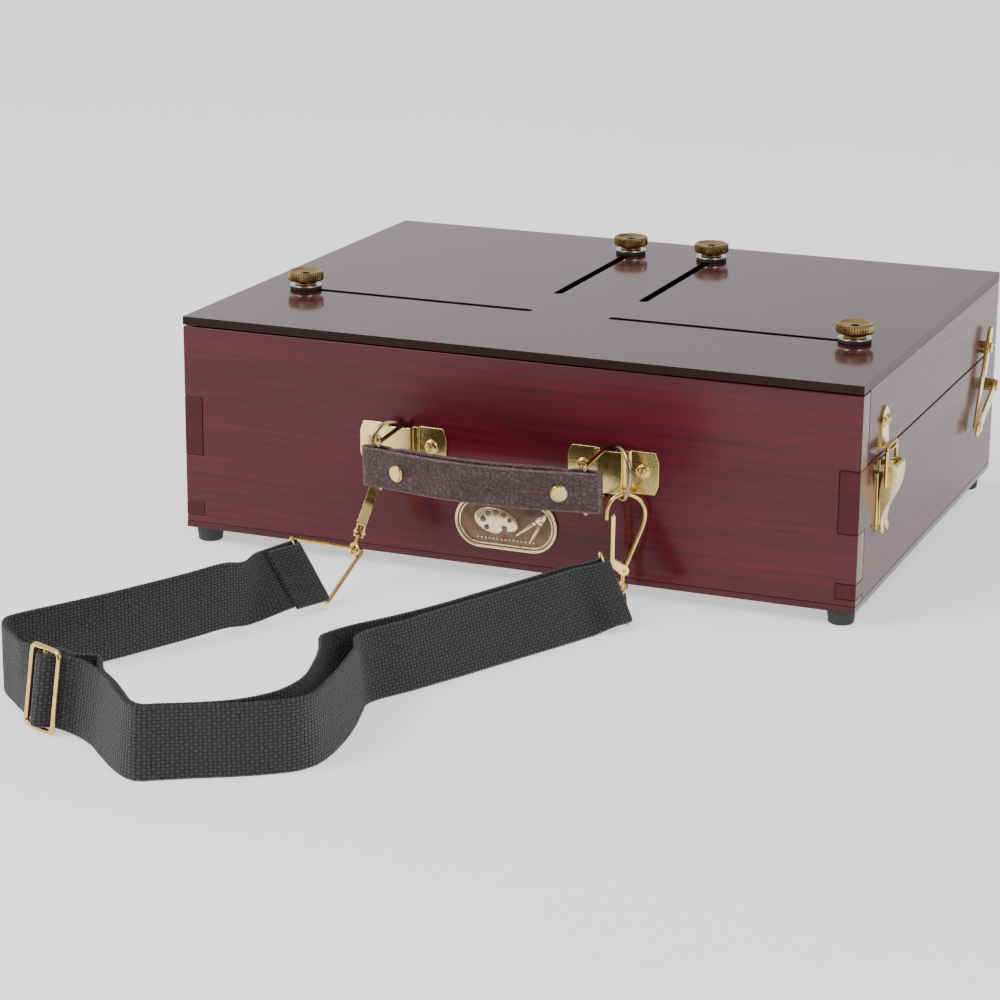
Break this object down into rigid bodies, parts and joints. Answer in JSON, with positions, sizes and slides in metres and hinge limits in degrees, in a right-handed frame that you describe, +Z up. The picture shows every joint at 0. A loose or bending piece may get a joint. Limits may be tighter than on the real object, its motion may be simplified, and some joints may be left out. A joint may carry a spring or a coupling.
{
  "type": "box easel",
  "caption": "Table-top box easel with a hinged slotted lid, canvas clamps, draw latches, lid stays, a leather handle and a hooked webbing strap.",
  "frame": {"origin": "centre of the underside of the box", "axes": "+X to the right along the front, +Y from the handle side to the hinged back, +Z up"},
  "size_m": [0.4424, 0.691, 0.1524],
  "materials": {
    "lacquered_wood": "deep red mahogany stain under high gloss lacquer",
    "inner_wood": "plain satin wood",
    "black_rubber": "matt black rubber",
    "polished_brass": "pale polished brass plate",
    "antique_brass": "darkened antique brass",
    "plated_steel": "nickel plated steel",
    "brown_leather": "mottled brown leather",
    "black_webbing": "coarse black cotton webbing"
  },
  "bodies": {
    "case": {"base_front_board": "lacquered_wood", "base_side_left": "lacquered_wood", "base_side_right": "lacquered_wood", "base_back_board": "lacquered_wood", "base_bottom_panel": "lacquered_wood", "base_dividers": "inner_wood", "feet": "black_rubber", "hinge_base_leaves": "polished_brass", "latch_base_plates": "polished_brass", "latch_pivots": "polished_brass", "latch_base_screws": "polished_brass", "handle_brackets": "polished_brass", "bracket_screws": "polished_brass", "badge": "antique_brass", "stay_base_pivots": "polished_brass", "strap_d_rings": "antique_brass", "strap_hooks": "polished_brass", "strap_triangle_rings": "polished_brass", "strap_webbing": "black_webbing", "strap_slide": "polished_brass"},
    "lid": {"lid_panel": "lacquered_wood", "lid_side_left": "lacquered_wood", "lid_side_right": "lacquered_wood", "lid_back_rail": "lacquered_wood", "hinge_lid_leaves": "polished_brass", "hinge_pins": "polished_brass", "latch_catches": "polished_brass", "catch_screws": "polished_brass", "stay_lid_pivots": "polished_brass"},
    "latch_lever_left": {"latch_lever_left": "polished_brass"},
    "latch_bail_left": {"latch_bail_left": "polished_brass"},
    "stay_upper_left": {"stay_upper_left": "polished_brass"},
    "stay_lower_left": {"stay_lower_left": "polished_brass"},
    "handle_ring_left": {"handle_ring_left": "antique_brass"},
    "hook_gate_left": {"hook_gate_left": "polished_brass"},
    "latch_lever_right": {"latch_lever_right": "polished_brass"},
    "latch_bail_right": {"latch_bail_right": "polished_brass"},
    "stay_upper_right": {"stay_upper_right": "polished_brass"},
    "stay_lower_right": {"stay_lower_right": "polished_brass"},
    "handle_ring_right": {"handle_ring_right": "antique_brass"},
    "hook_gate_right": {"hook_gate_right": "polished_brass"},
    "clamp_left": {"clamp_post_left": "plated_steel", "clamp_pad_left": "black_rubber", "clamp_washer_left": "plated_steel"},
    "nut_left": {"clamp_nut_left": "polished_brass"},
    "clamp_right": {"clamp_post_right": "plated_steel", "clamp_pad_right": "black_rubber", "clamp_washer_right": "plated_steel"},
    "nut_right": {"clamp_nut_right": "polished_brass"},
    "clamp_back_left": {"clamp_post_back_left": "plated_steel", "clamp_pad_back_left": "black_rubber", "clamp_washer_back_left": "plated_steel"},
    "nut_back_left": {"clamp_nut_back_left": "polished_brass"},
    "clamp_back_right": {"clamp_post_back_right": "plated_steel", "clamp_pad_back_right": "black_rubber", "clamp_washer_back_right": "plated_steel"},
    "nut_back_right": {"clamp_nut_back_right": "polished_brass"},
    "handle_leather": {"handle_leather": "brown_leather", "handle_rivets": "polished_brass"}
  },
  "joints": [
    {"name": "lid_hinge", "type": "hinge", "parent": "case", "child": "lid", "pos_m": [0, 0.1668, 0.0829], "axis": [-1, 0, 0], "range_deg": [0, 110]},
    {"name": "stay_upper_left_pivot", "type": "hinge", "parent": "lid", "child": "stay_upper_left", "pos_m": [-0.2135, 0.126, 0.09], "axis": [1, 0, 0], "range_deg": [0, 63]},
    {"name": "stay_lower_left_pivot", "type": "hinge", "parent": "case", "child": "stay_lower_left", "pos_m": [-0.216, 0.142, 0.062], "axis": [-1, 0, 0], "range_deg": [0, 107]},
    {"name": "latch_lever_left_pivot", "type": "hinge", "parent": "case", "child": "latch_lever_left", "pos_m": [-0.217, -0.118, 0.0752], "axis": [0, 1, 0], "range_deg": [0, 100]},
    {"name": "latch_bail_left_pivot", "type": "hinge", "parent": "latch_lever_left", "child": "latch_bail_left", "pos_m": [-0.2152, -0.118, 0.0672], "axis": [0, 1, 0], "range_deg": [-100, 0]},
    {"name": "stay_upper_right_pivot", "type": "hinge", "parent": "lid", "child": "stay_upper_right", "pos_m": [0.2135, 0.126, 0.09], "axis": [1, 0, 0], "range_deg": [0, 63]},
    {"name": "stay_lower_right_pivot", "type": "hinge", "parent": "case", "child": "stay_lower_right", "pos_m": [0.216, 0.142, 0.062], "axis": [-1, 0, 0], "range_deg": [0, 107]},
    {"name": "latch_lever_right_pivot", "type": "hinge", "parent": "case", "child": "latch_lever_right", "pos_m": [0.217, -0.118, 0.0752], "axis": [0, -1, 0], "range_deg": [0, 100]},
    {"name": "latch_bail_right_pivot", "type": "hinge", "parent": "latch_lever_right", "child": "latch_bail_right", "pos_m": [0.2152, -0.118, 0.0672], "axis": [0, -1, 0], "range_deg": [-100, 0]},
    {"name": "clamp_left_slide", "type": "slide", "parent": "lid", "child": "clamp_left", "axis": [1, 0, 0], "range_m": [0, 0.148]},
    {"name": "nut_left_spin", "type": "hinge", "parent": "clamp_left", "child": "nut_left", "pos_m": [-0.1765, -0.064, 0.138], "axis": [0, 0, 1], "continuous": true},
    {"name": "clamp_right_slide", "type": "slide", "parent": "lid", "child": "clamp_right", "axis": [-1, 0, 0], "range_m": [0, 0.148]},
    {"name": "nut_right_spin", "type": "hinge", "parent": "clamp_right", "child": "nut_right", "pos_m": [0.1765, -0.064, 0.138], "axis": [0, 0, 1], "continuous": true},
    {"name": "clamp_back_left_slide", "type": "slide", "parent": "lid", "child": "clamp_back_left", "axis": [0, -1, 0], "range_m": [0, 0.132]},
    {"name": "nut_back_left_spin", "type": "hinge", "parent": "clamp_back_left", "child": "nut_back_left", "pos_m": [-0.028, 0.122, 0.138], "axis": [0, 0, 1], "continuous": true},
    {"name": "clamp_back_right_slide", "type": "slide", "parent": "lid", "child": "clamp_back_right", "axis": [0, -1, 0], "range_m": [0, 0.132]},
    {"name": "nut_back_right_spin", "type": "hinge", "parent": "clamp_back_right", "child": "nut_back_right", "pos_m": [0.028, 0.122, 0.138], "axis": [0, 0, 1], "continuous": true},
    {"name": "handle_left_swing", "type": "hinge", "parent": "case", "child": "handle_ring_left", "pos_m": [-0.063, -0.1676, 0.068], "axis": [0, -0.0698, 0.9976], "range_deg": [-12, 16]},
    {"name": "handle_right_swing", "type": "hinge", "parent": "case", "child": "handle_ring_right", "pos_m": [0.063, -0.1676, 0.068], "axis": [0, -0.0698, 0.9976], "range_deg": [-12, 16]},
    {"name": "handle_leather_pivot", "type": "hinge", "parent": "handle_ring_left", "child": "handle_leather", "pos_m": [-0.063, -0.20351, 0.06549], "axis": [0, -0.0698, 0.9976], "range_deg": [-16, 12]},
    {"name": "hook_gate_right_hinge", "type": "hinge", "parent": "case", "child": "hook_gate_right", "pos_m": [0.07713, -0.17626, 0.01282], "axis": [-0.4378, 0.8955, -0.0806], "range_deg": [0, 18], "stiffness_Nm_per_rad": 0.01},
    {"name": "hook_gate_left_hinge", "type": "hinge", "parent": "case", "child": "hook_gate_left", "pos_m": [-0.0765, -0.20233, 0.02371], "axis": [-0.9216, -0.2631, 0.2852], "range_deg": [0, 18], "stiffness_Nm_per_rad": 0.01}
  ],
  "couplings": [
    {"joint": "handle_right_swing", "follows": "handle_left_swing", "ratio": 1},
    {"joint": "handle_leather_pivot", "follows": "handle_left_swing", "ratio": -1},
    {"joint": "stay_upper_left_pivot", "follows": "lid_hinge", "ratio": 0.56533},
    {"joint": "stay_lower_left_pivot", "follows": "lid_hinge", "ratio": 0.97014},
    {"joint": "latch_bail_left_pivot", "follows": "latch_lever_left_pivot", "ratio": -1},
    {"joint": "stay_upper_right_pivot", "follows": "lid_hinge", "ratio": 0.56533},
    {"joint": "stay_lower_right_pivot", "follows": "lid_hinge", "ratio": 0.97014},
    {"joint": "latch_bail_right_pivot", "follows": "latch_lever_right_pivot", "ratio": -1}
  ]
}
